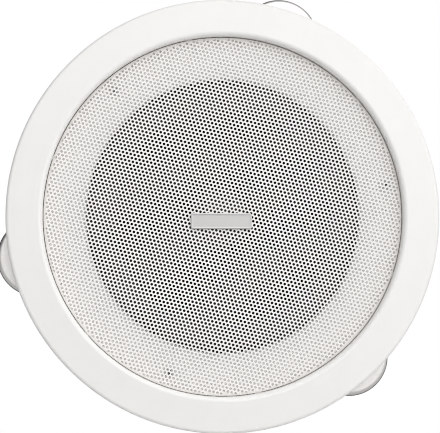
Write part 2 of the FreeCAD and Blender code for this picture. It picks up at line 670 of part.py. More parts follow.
def terminal_rivets():
    """Hollow rivets: the first grips flange and board, the others grip board and tab."""
    solids = []
    for i, (x, y) in enumerate(rivet_places()):
        front = FLANGE_Z if i == 0 else FLANGE_BACK_Z
        back = BOARD_BACK_Z if i == 0 else BOARD_BACK_Z - TAB_SHEET
        head_z, tail_z = front + RIVET_HEAD_HEIGHT, back - RIVET_HEAD_HEIGHT
        rivet = turned([
            (RIVET_BORE_R, tail_z), (RIVET_HEAD_R, tail_z), (RIVET_HEAD_R, back), (RIVET_R, back),
            (RIVET_R, front), (RIVET_HEAD_R, front), (RIVET_HEAD_R, head_z), (RIVET_BORE_R, head_z)])
        rivet.translate(FreeCAD.Vector(x, y, 0))
        solids.append(at_angle(rivet, TERMINAL_ANGLE))
    return Part.makeCompound(solids)


def lead(side):
    """A flexible lead from a tab's foot, through the window beside the spoke, to the rear of the cone."""
    points = [FreeCAD.Vector(x, y * side, z) for x, y, z in LEAD_ROUTE]
    edges = []
    here = points[0]
    for i in range(1, len(points) - 1):
        back = points[i - 1] - points[i]
        ahead = points[i + 1] - points[i]
        reach = LEAD_ARC_SHARE * min(back.Length, ahead.Length)
        back.normalize()
        ahead.normalize()
        half = back.getAngle(ahead) / 2
        radius = reach * math.tan(half)
        start, end = points[i] + back * reach, points[i] + ahead * reach
        middle = points[i] + (back + ahead).normalize() * (radius / math.sin(half) - radius)
        edges.append(Part.LineSegment(here, start).toShape())
        edges.append(Part.Arc(start, middle, end).toShape())
        here = end
    edges.append(Part.LineSegment(here, points[-1]).toShape())
    path = Part.Wire(edges)
    section = Part.Wire(Part.makeCircle(LEAD_R, points[0], points[1] - points[0]))
    return at_angle(path.makePipeShell([section], True, True), TERMINAL_ANGLE)


# Clips

def clip_paddle():
    """A pressed steel ear: a dished round end, a flat root and two lugs that turn on the pin."""
    back, inside = PAD_BACK_Z - PADDLE_DEPTH, PAD_BACK_Z - SHEET
    dish = disc(PADDLE_R, back, PAD_BACK_Z, PADDLE_CENTRE_R)
    dish = dish.makeFillet(PADDLE_EDGE_ROUND, edges_at(dish, PAD_BACK_Z))
    hollow = disc(PADDLE_R - SHEET, back - OVERCUT, inside, PADDLE_CENTRE_R)
    hollow = hollow.makeChamfer(PADDLE_EDGE_ROUND - SHEET, edges_at(hollow, inside))
    far = PADDLE_CENTRE_R + PADDLE_R + OVERCUT
    keep = block((PADDLE_ROOT_R, far), both_ways(PADDLE_R + OVERCUT), (back - OVERCUT, PAD_BACK_Z + OVERCUT))
    dish = dish.cut(hollow).common(keep)
    root = block((PIVOT_R, PADDLE_ROOT_R + PADDLE_ROOT_LAP), both_ways(PADDLE_HALF_ROOT), (inside, PAD_BACK_Z))
    slot = block((PIVOT_R - OVERCUT, PADDLE_ROOT_R), both_ways(SLOT_HALF_WIDTH), (back, PAD_BACK_Z + OVERCUT))
    top, end_round = PAD_BACK_Z - SHEET / 2, LUG_R - END_FLAT
    shoulder = PIVOT_Z + LUG_SHOULDER
    outline = [(PIVOT_R, top), (PIVOT_R + LUG_R + SHEET, top),
               (PIVOT_R + LUG_R, PIVOT_Z - LUG_R, end_round), (PIVOT_R - LUG_R, PIVOT_Z - LUG_R, end_round),
               (PIVOT_R - LUG_R, shoulder - LUG_CORNER, LUG_CORNER), (PIVOT_R, shoulder)]
    lugs = [side_plate(outline, (PADDLE_HALF_ROOT - SHEET, PADDLE_HALF_ROOT)),
            side_plate(outline, (-PADDLE_HALF_ROOT, SHEET - PADDLE_HALF_ROOT))]
    sheet = joined(dish, [root.cut(slot)] + lugs)
    return sheet.cut(cross_pin(PIN_R + PIN_PLAY, both_ways(PADDLE_HALF_ROOT + OVERCUT)))


def clip_pin():
    """A headed pin through the two ears."""
    end = EAR_INNER_T + EAR_THICKNESS
    shank = cross_pin(PIN_R, (-end - PIN_TAIL, end))
    head = cross_pin(PIN_HEAD_R, (end, end + PIN_HEAD_HEIGHT))
    return joined(shank, [head])


def clip_spring():
    """A torsion spring round the pin: one leg in the ring's pad, the other behind the paddle."""
    half = SPRING_WIRE / 2
    height = SPRING_TURNS * SPRING_PITCH
    helix = Part.makeHelix(SPRING_PITCH, height, SPRING_R, 0, True)
    corners = [FreeCAD.Vector(SPRING_R + a * half, 0, b * half) for a, b in ((-1, -1), (1, -1), (1, 1), (-1, 1))]
    section = Part.makePolygon(corners + corners[:1])
    coil = Part.Wire(helix.Edges).makePipeShell([section], True, True)
    anchor = block((SPRING_R - half, SPRING_R + half), (0, SPRING_ANCHOR), both_ways(half))
    arm = block((0, SPRING_REACH), (SPRING_R - half, SPRING_R + half), (height - half, height + half))
    spring = joined(coil, [anchor, arm])
    spring.translate(FreeCAD.Vector(0, 0, -height / 2))
    spring.rotate(ORIGIN, OUTWARD, 90)
    spring.translate(FreeCAD.Vector(PIVOT_R, 0, PIVOT_Z))
    return spring


# Writing the pieces

def save(node, shape):
    """Stand the piece upright, facing the -Y side, and write it."""
    upright = shape.copy()
    upright.rotate(ORIGIN, OUTWARD, 90)
    if not upright.isValid() or upright.Volume <= 0:
        raise ValueError("bad solid: " + node)
    upright.exportStep("parts/" + node + ".step")
    print(node, len(upright.Solids), "solid(s)", round(upright.Volume / 1000, 2), "cm3")


def main():
    os.makedirs("parts", exist_ok=True)
    singles = [trim_ring, grille, badge_plate, baffle, baffle_screws, driver_gasket, driver_basket, driver_screws,
               surround, cone, dust_cap, coil_former, voice_coil, spider, front_plate, magnet, yoke,
               terminal_board, terminal_rivets]
    for make in singles:
        save(make.__name__, make())
    for side, name in ((1, "plus"), (-1, "minus")):
        save("terminal_" + name, terminal_tab(TAB_WIDTHS[name], side))
        save("lead_" + name, lead(side))
    for make in (clip_paddle, clip_pin, clip_spring):
        for i, angle in enumerate(CLIP_ANGLES, start=1):
            save(make.__name__ + "_" + str(i), at_angle(make(), angle))


main()
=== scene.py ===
import json
import math

import bpy
import numpy as np
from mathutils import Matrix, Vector, geometry


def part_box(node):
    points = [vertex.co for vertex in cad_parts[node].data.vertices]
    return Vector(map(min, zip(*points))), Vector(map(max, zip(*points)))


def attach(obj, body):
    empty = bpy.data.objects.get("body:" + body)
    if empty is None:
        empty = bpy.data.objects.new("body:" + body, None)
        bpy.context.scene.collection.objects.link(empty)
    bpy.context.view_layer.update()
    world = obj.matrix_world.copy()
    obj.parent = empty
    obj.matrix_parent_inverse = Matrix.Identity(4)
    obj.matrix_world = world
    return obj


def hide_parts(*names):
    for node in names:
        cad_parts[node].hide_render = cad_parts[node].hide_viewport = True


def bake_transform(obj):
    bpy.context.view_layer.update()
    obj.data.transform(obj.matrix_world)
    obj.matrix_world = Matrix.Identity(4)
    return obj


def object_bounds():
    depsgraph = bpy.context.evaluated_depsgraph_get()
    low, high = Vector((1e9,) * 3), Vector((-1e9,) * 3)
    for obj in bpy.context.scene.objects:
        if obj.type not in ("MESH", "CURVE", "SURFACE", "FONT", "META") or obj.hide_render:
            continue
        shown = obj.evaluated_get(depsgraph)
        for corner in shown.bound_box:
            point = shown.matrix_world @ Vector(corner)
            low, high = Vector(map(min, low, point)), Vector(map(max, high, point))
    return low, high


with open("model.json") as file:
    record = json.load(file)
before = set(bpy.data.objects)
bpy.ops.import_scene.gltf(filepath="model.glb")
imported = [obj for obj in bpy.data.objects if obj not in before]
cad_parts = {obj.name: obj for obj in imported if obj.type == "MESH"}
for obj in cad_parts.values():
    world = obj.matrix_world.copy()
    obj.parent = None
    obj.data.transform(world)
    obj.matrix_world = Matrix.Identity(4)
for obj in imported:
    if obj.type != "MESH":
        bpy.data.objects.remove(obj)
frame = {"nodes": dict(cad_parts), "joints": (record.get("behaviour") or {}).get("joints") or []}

bl_info = {
    "name": "Flush-mount loudspeaker",
    "version": (1, 0, 0),
    "blender": (4, 5, 0),
    "location": "View3D > Sidebar > Loudspeaker",
    "description": "Dresses a round flush-mount loudspeaker: grille, driver, sprung clips and studio",
    "category": "Object",
}

CAD_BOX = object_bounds()
MM = 0.001
FULL_TURN = 2 * math.pi
FRONT = (0.0, -1.0, 0.0)
CLIP_JOINTS = [joint for joint in frame["joints"] if joint["type"] == "hinge"]


def node_radius(node):
    """How far a round node reaches from the speaker's axis."""
    low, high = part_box(node)
    return max(abs(low.x), abs(high.x), abs(low.z), abs(high.z))


def joint_angle(joint):
    """Where a clip's pivot lies round the speaker, counted from the right as the listener sees it."""
    return math.atan2(joint["pos_m"][2], joint["pos_m"][0])


# Sizes and colours that a user would change

def length(name, description, default):
    """A size in metres."""
    return bpy.props.FloatProperty(
        name=name, description=description, default=default, unit="LENGTH", precision=5)


def angle(name, description, degrees):
    """An angle, given in degrees."""
    return bpy.props.FloatProperty(
        name=name, description=description, default=math.radians(degrees), subtype="ANGLE")


def colour(name, description, rgb):
    """A colour, in linear red, green and blue."""
    return bpy.props.FloatVectorProperty(
        name=name, description=description, default=rgb, size=3, min=0.0, max=1.0, subtype="COLOR")


def number(name, description, default):
    """A plain amount."""
    return bpy.props.FloatProperty(name=name, description=description, default=default, min=0.0)


def count(name, description, default):
    """A whole number, at least one."""
    return bpy.props.IntProperty(name=name, description=description, default=default, min=1)


class GrilleSettings(bpy.types.PropertyGroup):
    """The perforated sheet and its rolled rim"""
    hole_pitch: length("Hole pitch", "Distance between neighbouring holes in a row", 2.107 * MM)
    row_gap: length("Row gap", "Distance between neighbouring rows of holes", 1.890 * MM)
    row_turn: angle("Row turn", "Direction of the rows, counted from the horizontal", -13.85)
    hole_x: length("Hole X", "Sideways place of the hole that the rows are counted from", 0.03 * MM)
    hole_z: length("Hole Z", "Height of the hole that the rows are counted from", -0.85 * MM)
    hole_radius: length("Hole radius", "Radius of one hole", 0.786 * MM)
    hole_sides: count("Hole sides", "Straight sides of one hole", 6)
    sheet: length("Sheet", "Thickness of the steel sheet", 0.6 * MM)
    bend: length("Bend", "Outer radius of the rolled rim", 1.8 * MM)
    bare_rim: length("Bare rim", "Rolled stretch outside the last holes", 1.3 * MM)
    rim_steps: count("Rim steps", "Straight steps in one turn of the rim", 220)


class PlateSettings(bpy.types.PropertyGroup):
    """The small bare plate on the grille"""
    corner: length("Corner", "Radius of the plate's corners", 1.2 * MM)
    slope: length("Slope", "Width of each slope of the raised rim", 0.55 * MM)
    crest: length("Crest", "Width of the rim's flat top", 0.10 * MM)
    sunk: length("Sunk", "Height of the rim above the field inside it", 0.08 * MM)
    corner_steps: count("Corner steps", "Straight steps in one corner", 6)


class SuspensionSettings(bpy.types.PropertyGroup):
    """The two soft rings that carry the cone"""
    rubber: length("Rubber", "Thickness of the surround", 0.8 * MM)
    lip: length("Lip", "Width of the surround's glued lips", 3.0 * MM)
    roll_outside: length("Roll outside", "Flat stretch between the roll and the outer lip", 1.2 * MM)
    roll_inside: length("Roll inside", "Gap between the roll and the edge of the cone", 0.2 * MM)
    roll_steps: count("Roll steps", "Straight steps across the roll", 20)
    cloth: length("Cloth", "Thickness of the spider", 0.5 * MM)
    glue: length("Glue", "Gap between the former and the spider", 0.3 * MM)
    collar: length("Collar", "Width of the spider's flat stretch at the former", 2.0 * MM)
    flange: length("Flange", "Width of the spider's flat stretch on the shelf", 7.8 * MM)
    waves: count("Waves", "Full waves in the spider, from the former to the shelf", 4)
    wave_height: length("Wave height", "Height of a wave above the spider's middle", 1.1 * MM)
    wave_steps: count("Wave steps", "Straight steps across one wave", 16)
    steps: count("Steps", "Straight steps in one turn", 180)


class SpringSettings(bpy.types.PropertyGroup):
    """The torsion springs of the clips"""
    wire: length("Wire", "Diameter of the spring wire", 1.0 * MM)
    coil_radius: length("Coil radius", "Radius of the coil at the middle of the wire", 3.45 * MM)
    pitch: length("Pitch", "Advance of the coil in one turn", 1.25 * MM)
    turns: number("Turns", "Turns of wire round the pin", 3.75)
    anchor: length("Anchor", "Length of the leg that is held in the ring", 7.5 * MM)
    arm: length("Arm", "Length of the leg that presses on the clip", 20.0 * MM)
    turn_steps: count("Turn steps", "Straight steps in one turn", 24)
    anchor_steps: count("Anchor steps", "Straight steps in the held leg", 6)
    arm_steps: count("Arm steps", "Straight steps in the pressing leg", 8)


class FinishSettings(bpy.types.PropertyGroup):
    """Colours of the pieces"""
    ring_white: colour("Ring white", "Moulded trim ring", (0.89, 0.882, 0.868))
    grille_white: colour("Grille white", "Powder coat on the grille", (0.904, 0.887, 0.870))
    baffle_white: colour("Baffle white", "Moulded baffle", (0.95, 0.945, 0.935))
    plate_silver: colour("Plate silver", "Small plate on the grille", (0.485, 0.48, 0.475))
    zinc: colour("Zinc", "Plated clips, screws and plates", (0.74, 0.73, 0.72))
    screw_white: colour("Screw white", "Coated heads of the baffle's screws", (0.80, 0.795, 0.785))
    basket_black: colour("Basket black", "Painted basket", (0.018, 0.018, 0.019))
    paper_black: colour("Paper black", "Pressed paper cone", (0.015, 0.009, 0.006))
    rubber_black: colour("Rubber black", "Surround", (0.013, 0.009, 0.007))
    cap_black: colour("Cap black", "Dust cap", (0.010, 0.007, 0.005))
    cloth_tan: colour("Cloth tan", "Impregnated spider cloth", (0.46, 0.30, 0.11))
    ferrite_grey: colour("Ferrite grey", "Magnet", (0.045, 0.045, 0.048))
    copper: colour("Copper", "Voice coil and leads", (0.60, 0.27, 0.13))
    board_brown: colour("Board brown", "Laminated terminal board", (0.20, 0.085, 0.035))
    foam_grey: colour("Foam grey", "Gasket of the driver", (0.03, 0.03, 0.031))
    foil_silver: colour("Foil silver", "Former of the voice coil", (0.80, 0.80, 0.81))
    tab_tin: colour("Tab tin", "Tinned tabs", (0.78, 0.77, 0.73))
    tab_brass: colour("Tab brass", "Brass that shows through the tin", (0.70, 0.60, 0.40))


class StageSettings(bpy.types.PropertyGroup):
    """Camera, light and floor"""
    camera_distance: length("Camera distance", "From the camera to the ring", 1.0)
    view_width: length("View width", "Width of the view at the ring", 0.2334)
    camera_left: angle("Camera left", "How far the camera stands to the left of the axis", 3.2)
    camera_below: angle("Camera below", "How far the camera stands below the axis", 2.6)
    aim_x: length("Aim X", "Sideways place that the camera looks at", -1.85 * MM)
    aim_z: length("Aim Z", "Height that the camera looks at", -0.3 * MM)
    floor_drop: length("Floor drop", "Gap between the speaker and the floor", 0.26)
    floor_white: colour("Floor white", "Plain floor", (0.74, 0.74, 0.74))
    floor_size: length("Floor size", "Half the width of the floor", 3.5)
    fill: number("Fill", "Light that comes from all sides", 0.15)
    key: number("Key", "Brightness of the wide soft light in front", 2.66)
    key_out: angle("Key out", "Angle between the key light and the speaker's axis", 60.0)
    key_turn: angle("Key turn", "Direction of the key light, counted from the right", 50.0)
    flags: number("Flags", "How sharply the key light is held off the speaker's sides", 0.8)
    back: number("Back", "Brightness of the soft light behind", 1.55)
    back_spread: number("Back spread", "How closely the light behind is gathered", 8.0)
    back_up: angle("Back up", "How high the light behind stands", 35.0)
    back_side: angle("Back side", "How far the light behind stands to the right", 30.0)
    pixel_filter: number("Pixel filter", "Width of the picture's pixel filter, in pixels", 1.0)
    light_bounces: count("Light bounces", "How often light is passed on between white surfaces", 10)


# Meshes

def new_piece(name, points, faces, material, sharp_degrees=40.0):
    """A mesh object in the speaker's frame, smooth except at edges sharper than the given angle."""
    mesh = bpy.data.meshes.new(name)
    mesh.from_pydata(points, [], faces)
    mesh.validate()
    mesh.shade_smooth()
    mesh.set_sharp_from_angle(angle=math.radians(sharp_degrees))
    mesh.materials.append(material)
    piece = bpy.data.objects.new(name, mesh)
    bpy.context.scene.collection.objects.link(piece)
    return piece


def revolved(section, steps):
    """Points and faces of a closed section (radius, depth) turned round the speaker's axis."""
    points = []
    faces = []
    around = len(section)
    for i in range(steps):
        turn = FULL_TURN * i / steps
        points += [(r * math.cos(turn), depth, r * math.sin(turn)) for r, depth in section]
        here, following = i * around, (i + 1) % steps * around
        for k in range(around):
            ahead = (k + 1) % around
            faces.append((here + k, here + ahead, following + ahead, following + k))
    return points, faces


def crossways(path):
    """Each place of a path, with two directions across it that turn as little as they can."""
    across = None
    for i, here in enumerate(path):
        ahead = (path[min(i + 1, len(path) - 1)] - path[max(i - 1, 0)]).normalized()
        if across is None:
            across = ahead.orthogonal()
        across = (across - ahead * across.dot(ahead)).normalized()
        yield here, across, ahead.cross(across)


def tube(path, radius, sides):
    """Points and faces of a round wire along a path, with flat ends."""
    points = []
    faces = []
    for here, across, other in crossways(path):
        for k in range(sides):
            turn = FULL_TURN * k / sides
            points.append(here + (across * math.cos(turn) + other * math.sin(turn)) * radius)
    for i in range(len(path) - 1):
        for k in range(sides):
            ahead = (k + 1) % sides
            faces.append((i * sides + k, i * sides + ahead, (i + 1) * sides + ahead, (i + 1) * sides + k))
    last = (len(path) - 1) * sides
    faces.append(tuple(reversed(range(sides))))
    faces.append(tuple(range(last, last + sides)))
    return points, faces


def merged(parts):
    """Points and faces of several meshes put into one."""
    points = []
    faces = []
    for part_points, part_faces in parts:
        first = len(points)
        points += part_points
        faces += [tuple(first + k for k in face) for face in part_faces]
    return points, faces


def arc_points(start, middle, end, steps):
    """Points on the arc through three places of a section, with both ends."""
    (ax, ay), (bx, by), (cx, cy) = start, middle, end
    a, b, c = (x * x + y * y for x, y in (start, middle, end))
    double_area = 2 * (ax * (by - cy) + bx * (cy - ay) + cx * (ay - by))
    ux = (a * (by - cy) + b * (cy - ay) + c * (ay - by)) / double_area
    uy = (a * (cx - bx) + b * (ax - cx) + c * (bx - ax)) / double_area
    radius = math.hypot(ax - ux, ay - uy)
    first = math.atan2(ay - uy, ax - ux)
    sweep = (math.atan2(cy - uy, cx - ux) - first) % FULL_TURN
    passing = (math.atan2(by - uy, bx - ux) - first) % FULL_TURN
    if passing >= sweep:
        sweep -= FULL_TURN
    turns = [first + sweep * i / steps for i in range(steps + 1)]
    return [(ux + radius * math.cos(turn), uy + radius * math.sin(turn)) for turn in turns]


def placed(outward, along, depth, turn):
    """A place given outwards, along a tangent and into the wall, at an angle round the speaker."""
    x = outward * math.cos(turn) - along * math.sin(turn)
    z = outward * math.sin(turn) + along * math.cos(turn)
    return Vector((x, depth, z))


def dress(material, *nodes):
    """Give a finish to pieces whose own shape is kept."""
    for node in nodes:
        piece = frame["nodes"][node]
        for place in piece.material_slots:
            place.material = material


# Finishes

# The stretch of a noise's values that holds most of its grain
NOISE_LOW, NOISE_HIGH = 0.3, 0.7
# Width of one line of the wave texture at a scale of 1
WAVE_WIDTH = math.pi / 10


def shaded(rgb, share):
    """A colour at a share of its brightness."""
    return [share * part for part in rgb]


def warmed(rgb, shares):
    """A colour with its own share of red, green and blue."""
    return [share * part for share, part in zip(shares, rgb)]


class Finish:
    """A material in the making, with fixed values on its shader's own sockets."""

    def __init__(self, name, rgb, roughness, metallic=0.0, **fixed):
        self.material = bpy.data.materials.new(name)
        self.material.use_nodes = True
        self.tree = self.material.node_tree
        self.shader = self.tree.nodes["Principled BSDF"]
        self.rgb = tuple(rgb)
        fixed.update({"Base Color": (*rgb, 1.0), "Roughness": roughness, "Metallic": metallic})
        self.set(self.shader, fixed)
        self.place = self.tree.nodes.new("ShaderNodeTexCoord").outputs["Object"]
        self.relief = None

    @staticmethod
    def set(node, values):
        """Fixed values on a node's sockets."""
        for name, value in values.items():
            node.inputs[name].default_value = value

    def add(self, kind, values=None, **settings):
        """A new node with its settings and fixed values."""
        node = self.tree.nodes.new(kind)
        for name, value in settings.items():
            setattr(node, name, value)
        self.set(node, values or {})
        return node

    def join(self, source, target):
        """A link from one socket to another."""
        self.tree.links.new(source, target)

    def stretched(self, stretch):
        """The piece's own place, scaled along each axis."""
        mapping = self.add("ShaderNodeMapping", {"Scale": stretch})
        self.join(self.place, mapping.inputs["Vector"])
        return mapping.outputs["Vector"]

    def noise(self, size, detail=3.0, stretch=(1.0, 1.0, 1.0)):
        """Cloudy grain whose features are about the given size."""
        node = self.add("ShaderNodeTexNoise", {"Scale": 1.0 / size, "Detail": detail})
        self.join(self.stretched(stretch), node.inputs["Vector"])
        return node.outputs["Fac"]

    def cells(self, size):
        """Small rounded cells, as in foam or cast grain."""
        node = self.add("ShaderNodeTexVoronoi", {"Scale": 1.0 / size})
        self.join(self.place, node.inputs["Vector"])
        return node.outputs["Distance"]

    def wave(self, size, waver, **settings):
        """Even marks, one in each size, that waver by the given amount."""
        values = {"Scale": WAVE_WIDTH / size, "Distortion": waver, "Detail Scale": 2.0}
        node = self.add("ShaderNodeTexWave", values, **settings)
        self.join(self.place, node.inputs["Vector"])
        return node.outputs["Fac"]

    def lines(self, size, direction):
        """Straight lines across an axis."""
        return self.wave(size, 0.0, wave_type="BANDS", bands_direction=direction)

    def rings(self, size, waver):
        """Turning marks round the speaker's axis."""
        return self.wave(size, waver, wave_type="RINGS", rings_direction="Y")

    def combined(self, one, other, operation="MULTIPLY"):
        """Two fields made into one."""
        node = self.add("ShaderNodeMath", operation=operation)
        self.join(one, node.inputs[0])
        self.join(other, node.inputs[1])
        return node.outputs["Value"]

    def share(self, field, low, high):
        """How far a field has gone from one value to another."""
        node = self.add("ShaderNodeMapRange", {"From Min": low, "From Max": high})
        self.join(field, node.inputs["Value"])
        return node.outputs["Result"]

    def blended(self, share, one, other):
        """Colour that goes over from one to another."""
        node = self.add("ShaderNodeMix", data_type="RGBA")
        self.join(share, node.inputs["Factor"])
        for source, place in zip((one, other), [i for i in node.inputs if i.type == "RGBA"]):
            self.join(source, place)
        return [o for o in node.outputs if o.type == "RGBA"][0]

    def depth(self, source=None):
        """The part of a vector that points into the wall, by default of the piece's own place."""
        node = self.add("ShaderNodeSeparateXYZ")
        self.join(source or self.place, node.inputs["Vector"])
        return node.outputs["Y"]

    def facing(self):
        """How far the surface looks into the wall: -1 for a front, 1 for a rear."""
        return self.depth(self.add("ShaderNodeTexCoord").outputs["Normal"])

    def radius(self):
        """Distance from the speaker's axis."""
        flat = self.add("ShaderNodeVectorMath", {1: (1.0, 0.0, 1.0)}, operation="MULTIPLY")
        self.join(self.place, flat.inputs[0])
        node = self.add("ShaderNodeVectorMath", operation="LENGTH")
        self.join(flat.outputs["Vector"], node.inputs[0])
        return node.outputs["Value"]

    def ramp(self, field, dark, light, low=NOISE_LOW, high=NOISE_HIGH):
        """Colour that runs between two colours."""
        node = self.add("ShaderNodeValToRGB")
        for element, place, rgb in zip(node.color_ramp.elements, (low, high), (dark, light)):
            element.position = place
            element.color = (*rgb, 1.0)
        self.join(field, node.inputs["Fac"])
        return node.outputs["Color"]

    def tint(self, field, dark, light, low=NOISE_LOW, high=NOISE_HIGH):
        """Base colour that runs between two shares of the finish's own colour, or between two colours."""
        shades = [shaded(self.rgb, shade) if isinstance(shade, float) else shade for shade in (dark, light)]
        self.join(self.ramp(field, *shades, low, high), self.shader.inputs["Base Color"])

    def polish(self, field, low, high):
        """Roughness that follows a field."""
        values = {"From Min": NOISE_LOW, "From Max": NOISE_HIGH, "To Min": low, "To Max": high}
        node = self.add("ShaderNodeMapRange", values)
        self.join(field, node.inputs["Value"])
        self.join(node.outputs["Result"], self.shader.inputs["Roughness"])

    def emboss(self, field, depth):
        """Fine relief of the given depth, on top of any relief before it."""
        node = self.add("ShaderNodeBump", {"Distance": depth, "Strength": 1.0})
        self.join(field, node.inputs["Height"])
        if self.relief:
            self.join(self.relief, node.inputs["Normal"])
        self.relief = node.outputs["Normal"]
        self.join(self.relief, self.shader.inputs["Normal"])


def moulded_white(name, rgb, roughness, depth):
    """White moulded plastic: a faint cloudiness, a fine grain and light that goes in to a depth."""
    inside = {"Subsurface Weight": 0.3, "Subsurface Radius": (1.0, 1.0, 1.0), "Subsurface Scale": depth}
    finish = Finish(name, rgb, roughness, **inside)
    finish.tint(finish.noise(14 * MM, 4.0), 0.985, 1.0)
    finish.polish(finish.noise(0.9 * MM), roughness - 0.05, roughness + 0.06)
    finish.emboss(finish.noise(0.35 * MM, 2.0), 0.006 * MM)
    return finish.material


def powder_coat(rgb):
    """White powder coat: soft orange-peel waves and a slight speckle."""
    finish = Finish("white_powder_coat", rgb, 0.45)
    finish.tint(finish.noise(0.7 * MM, 4.0), 0.97, 1.0)
    finish.polish(finish.noise(1.4 * MM), 0.40, 0.52)
    finish.emboss(finish.noise(0.9 * MM, 2.0), 0.012 * MM)
    return finish.material


def brushed_plate(rgb):
    """Satin aluminium, brushed along its length."""
    finish = Finish("satin_aluminium", rgb, 0.34, 1.0)
    brushing = finish.noise(0.25 * MM, 5.0, (0.03, 1.0, 1.0))
    finish.tint(brushing, 0.90, 1.0)
    finish.polish(brushing, 0.28, 0.42)
    finish.emboss(brushing, 0.004 * MM)
    return finish.material


def zinc_plate(name, rgb, roughness):
    """Zinc-plated steel: a soft spangle with a faint warm bloom, and a fine grain."""
    finish = Finish(name, rgb, roughness, 1.0)
    finish.tint(finish.noise(4.0 * MM, 5.0), warmed(rgb, (0.97, 0.94, 0.89)), rgb)
    finish.polish(finish.noise(0.6 * MM, 4.0), roughness - 0.06, roughness + 0.10)
    finish.emboss(finish.noise(0.3 * MM, 3.0), 0.004 * MM)
    return finish.material


# How far below a screw's head the painted shade on the floor of its recess starts, and where it is full
RECESS_START, RECESS_FULL = 0.4 * MM, 0.7 * MM


def coated_screw(rgb, head_y):
    """Steel under a pale flake coat, with painted shade, near black, on the floor of the recess of a head at
    the given depth.
    """
    finish = Finish("screw_flake_coat_recess_shade", rgb, 0.42, 0.3)
    flakes = finish.noise(0.4 * MM, 5.0)
    coat = finish.ramp(flakes, shaded(rgb, 0.88), rgb)
    # Painted shade: a near-black copy of the coat for the recess floor, where shade falls
    painted_recess_shade = finish.ramp(flakes, shaded(rgb, 0.01), shaded(rgb, 0.03))
    sunk = finish.share(finish.depth(), head_y + RECESS_START, head_y + RECESS_FULL)
    floor = finish.combined(sunk, finish.share(finish.facing(), -0.90, -0.97))
    finish.join(finish.blended(floor, coat, painted_recess_shade), finish.shader.inputs["Base Color"])
    finish.polish(flakes, 0.34, 0.52)
    finish.emboss(flakes, 0.006 * MM)
    return finish.material


def turned_steel(rgb):
    """Zinc-plated steel with turning marks round the axis."""
    finish = Finish("turned_steel", rgb, 0.32, 1.0)
    marks = finish.rings(0.45 * MM, 0.6)
    finish.tint(finish.noise(6.0 * MM, 4.0), 0.84, 1.0)
    finish.polish(finish.noise(2.0 * MM), 0.26, 0.44)
    finish.emboss(marks, 0.004 * MM)
    return finish.material


# How far outside the baffle an ear's painted edge shade starts, and over what width it comes in
EAR_START, EAR_WIDTH = 5.0 * MM, 1.0 * MM


def clip_zinc_painted_shade(rgb, ear_r):
    """Zinc-plated pressing with painted light and shade: a lit copy in front, a painted darker copy behind,
    and painted dark shade on its edge outside the given radius.
    """
    finish = Finish("clip_zinc_painted_shade", rgb, 0.38, 1.0)
    grain = finish.noise(4.0 * MM, 5.0)
    bright = finish.ramp(grain, warmed(rgb, (0.98, 0.965, 0.95)), rgb)
    # Painted shade: a darker copy of the zinc for faces that look behind, where less light falls
    painted_rear_shade = finish.ramp(grain, shaded(rgb, 0.46), shaded(rgb, 0.66))
    # Painted shade: near black on the paddle's edge outside the given radius, where the rim would be in
    # shadow
    dark = finish.ramp(finish.noise(1.2 * MM, 4.0), shaded(rgb, 0.06), shaded(rgb, 0.15))
    facing = finish.facing()
    behind = finish.share(facing, -0.2, 0.4)
    edge = finish.share(finish.combined(facing, facing), 0.55, 0.15)
    outside = finish.share(finish.radius(), ear_r, ear_r + EAR_WIDTH)
    # The lit front copy and the painted rear shade are mixed by where the face looks
    plated = finish.blended(behind, bright, painted_rear_shade)
    shade = finish.blended(finish.combined(edge, outside), plated, dark)
    finish.join(shade, finish.shader.inputs["Base Color"])
    finish.polish(finish.noise(0.6 * MM, 4.0), 0.32, 0.48)
    finish.emboss(finish.noise(0.3 * MM, 3.0), 0.004 * MM)
    return finish.material


def spring_wire(rgb):
    """Drawn spring steel under a film of oil."""
    finish = Finish("spring_wire", shaded(rgb, 0.55), 0.28, 1.0)
    finish.tint(finish.noise(1.2 * MM, 4.0), 0.75, 1.0)
    finish.polish(finish.noise(0.5 * MM), 0.20, 0.38)
    return finish.material


def black_paint(rgb):
    """Black satin paint on pressed steel."""
    finish = Finish("black_satin_paint", rgb, 0.42)
    finish.tint(finish.noise(3.0 * MM, 4.0), 0.85, 1.15)
    finish.polish(finish.noise(1.0 * MM), 0.34, 0.52)
    finish.emboss(finish.noise(0.8 * MM, 2.0), 0.010 * MM)
    return finish.material


def pressed_paper(rgb):
    """Black pressed paper with fibres."""
    finish = Finish("pressed_paper", rgb, 0.85, **{"Specular IOR Level": 0.25})
    fibres = finish.noise(0.5 * MM, 6.0, (1.0, 1.0, 0.35))
    finish.tint(fibres, 0.7, 1.5)
    finish.polish(fibres, 0.75, 0.95)
    finish.emboss(fibres, 0.03 * MM)
    return finish.material


def black_rubber(rgb):
    """Matt rubber with a slight bloom."""
    finish = Finish("black_rubber", rgb, 0.62)
    finish.tint(finish.noise(5.0 * MM, 4.0), 0.8, 1.4)
    finish.polish(finish.noise(1.5 * MM), 0.52, 0.72)
    finish.emboss(finish.noise(0.4 * MM, 2.0), 0.006 * MM)
    return finish.material


def cap_gloss(rgb):
    """Semi-gloss black dome."""
    finish = Finish("cap_semi_gloss", rgb, 0.24)
    finish.tint(finish.noise(4.0 * MM, 3.0), 0.9, 1.2)
    finish.polish(finish.noise(1.2 * MM), 0.18, 0.30)
    finish.emboss(finish.noise(0.8 * MM, 2.0), 0.004 * MM)
    return finish.material


def closed_foam(rgb):
    """Dark closed-cell foam."""
    finish = Finish("closed_foam", rgb, 0.95)
    bubbles = finish.cells(0.5 * MM)
    finish.tint(bubbles, 0.6, 1.5, 0.1, 0.6)
    finish.emboss(bubbles, 0.10 * MM)
    return finish.material


def spider_cloth(rgb):
    """Woven cloth stiffened with resin."""
    finish = Finish("spider_cloth", rgb, 0.72)
    weave = finish.combined(finish.lines(0.55 * MM, "X"), finish.lines(0.55 * MM, "Z"), "MAXIMUM")
    finish.tint(weave, 0.60, 1.10, 0.2, 0.9)
    finish.emboss(weave, 0.10 * MM)
    return finish.material


